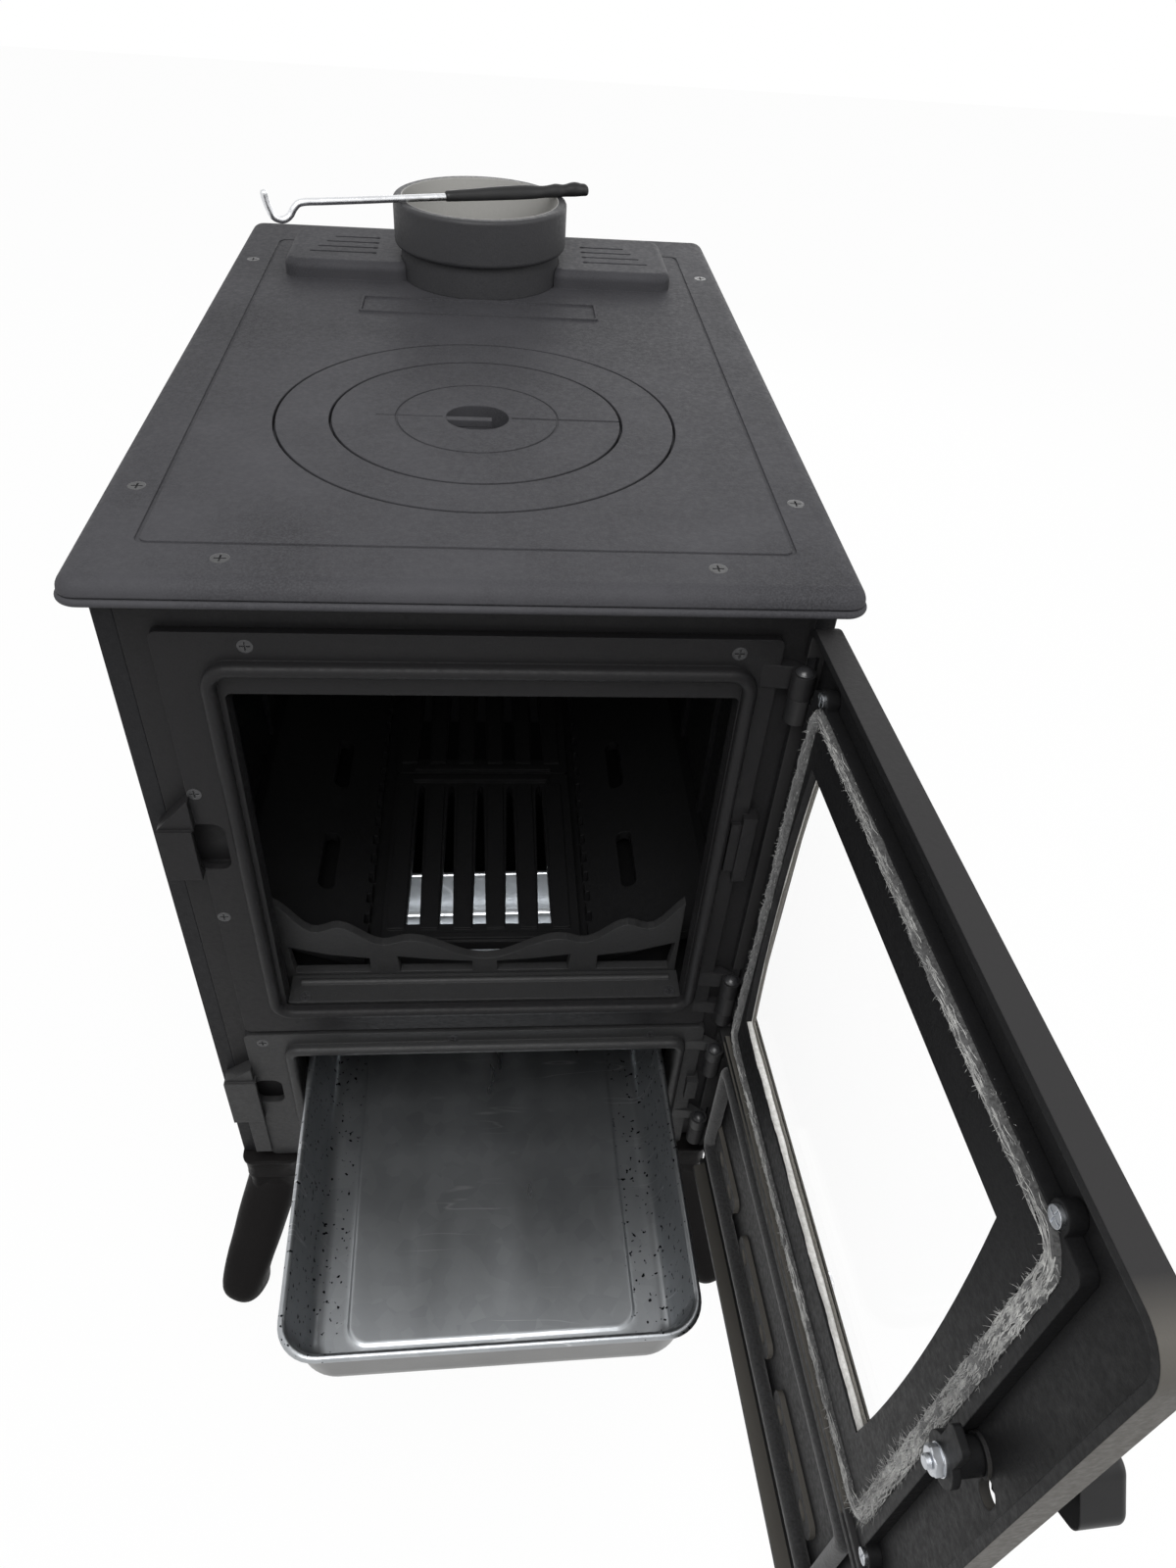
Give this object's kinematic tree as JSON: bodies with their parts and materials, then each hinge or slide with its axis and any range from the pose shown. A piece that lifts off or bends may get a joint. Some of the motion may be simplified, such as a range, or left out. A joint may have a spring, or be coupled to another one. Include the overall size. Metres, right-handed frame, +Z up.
{
  "type": "cast iron cooker stove",
  "caption": "Cast iron cooker stove on curved legs, with a glazed fire door, an ash door and pan, a lift-off hob ring and lid, and a flue collar.",
  "frame": {"origin": "centre of the flue collar's mouth, where the pipe is pushed in", "axes": "+Z up along the flue, -Y towards the front (the doors' side), +X towards the doors' hinges"},
  "size_m": [0.5452, 1.1423, 0.85],
  "materials": {
    "cast_top": "matt stove paint",
    "cast_frame": "matt stove paint",
    "cast_body": "matt stove paint",
    "cast_inside": "matt, slightly rough",
    "door_paint": "matt stove paint",
    "zinc": "zinc plated",
    "screw_dark": "painted over",
    "sheet_dark": "satin",
    "galvanised": "galvanised",
    "rope_grey": "woven glass fibre rope",
    "rope_black": "woven glass fibre rope",
    "gasket_white": "glass fibre tape",
    "glass": "clear heat resisting glass",
    "grip_black": "satin black",
    "chrome": "polished"
  },
  "bodies": {
    "stove": {"top_plate": "cast_top", "flue_collar": "cast_top", "collar_bolts": "zinc", "top_screws": "screw_dark", "front_plate": "cast_frame", "fire_frame": "cast_frame", "fire_frame_screws": "screw_dark", "sill_plate": "cast_frame", "sill_screws": "screw_dark", "ash_frame": "cast_frame", "ash_frame_screws": "screw_dark", "side_panel_left": "cast_body", "side_panel_right": "cast_body", "back_panel": "cast_body", "base_plate": "cast_body", "side_liner_left": "cast_inside", "side_liner_right": "cast_inside", "back_liner": "cast_inside", "cheek_left": "cast_inside", "cheek_right": "cast_inside", "hearth_plate": "cast_inside", "grate_front": "cast_inside", "grate_rear": "cast_inside", "log_guard": "cast_inside", "leg_front_left": "cast_frame", "leg_front_right": "cast_frame", "leg_rear_left": "cast_frame", "leg_rear_right": "cast_frame", "leg_bolts": "zinc", "fire_hinge_pins": "screw_dark", "ash_hinge_pins": "screw_dark", "pan_rail_left": "sheet_dark", "pan_rail_right": "sheet_dark"},
    "hob_ring": {"hob_ring": "cast_top"},
    "hob_lid": {"hob_lid": "cast_top"},
    "lid_tool": {"tool_rod": "zinc", "tool_grip": "grip_black"},
    "fire_door": {"fire_door_shell": "door_paint", "glass_frame": "door_paint", "door_glass": "glass", "glass_gasket": "gasket_white", "fire_door_rope": "rope_grey", "fire_door_screws": "zinc"},
    "fire_latch": {"fire_handle": "door_paint", "fire_handle_grip": "grip_black", "fire_cam": "door_paint", "fire_latch_nut": "zinc"},
    "ash_door": {"ash_door_shell": "door_paint", "ash_door_rope": "rope_black"},
    "ash_latch": {"ash_handle": "door_paint", "ash_handle_grip": "grip_black", "ash_cam": "door_paint", "ash_latch_nut": "zinc"},
    "air_slide": {"air_slide": "sheet_dark", "air_knob": "chrome"},
    "ash_pan": {"ash_pan": "galvanised"}
  },
  "joints": [
    {"name": "hob_ring_lift", "type": "slide", "parent": "stove", "child": "hob_ring", "axis": [0, 0, 1], "range_m": [0, 0.12]},
    {"name": "hob_lid_lift", "type": "slide", "parent": "hob_ring", "child": "hob_lid", "axis": [0, 0, 1], "range_m": [0, 0.15]},
    {"name": "tool_lift", "type": "slide", "parent": "stove", "child": "lid_tool", "axis": [0, -0.6, 0.8], "range_m": [0, 0.25]},
    {"name": "fire_door_hinge", "type": "hinge", "parent": "stove", "child": "fire_door", "pos_m": [0.2, -0.528, -0.294], "axis": [0, 0, 1], "range_deg": [-93, 25]},
    {"name": "fire_latch_turn", "type": "hinge", "parent": "fire_door", "child": "fire_latch", "pos_m": [0.21973, -0.90448, -0.289], "axis": [0.9986, 0.0523, 0], "range_deg": [0, 90]},
    {"name": "ash_door_hinge", "type": "hinge", "parent": "stove", "child": "ash_door", "pos_m": [0.2, -0.528, -0.594], "axis": [0, 0, 1], "range_deg": [-93, 15]},
    {"name": "ash_latch_turn", "type": "hinge", "parent": "ash_door", "child": "ash_latch", "pos_m": [0.21973, -0.90448, -0.584], "axis": [0.9986, 0.0523, 0], "range_deg": [0, 90]},
    {"name": "air_slide_travel", "type": "slide", "parent": "ash_door", "child": "air_slide", "axis": [-0.0523, 0.9986, 0], "range_m": [0, 0.015]},
    {"name": "ash_pan_slide", "type": "slide", "parent": "stove", "child": "ash_pan", "axis": [0, -1, 0], "range_m": [-0.396, 0.065]}
  ],
  "couplings": [
    {"joint": "ash_pan_slide", "follows": "ash_door_hinge", "m_per_rad": 0.2433}
  ]
}
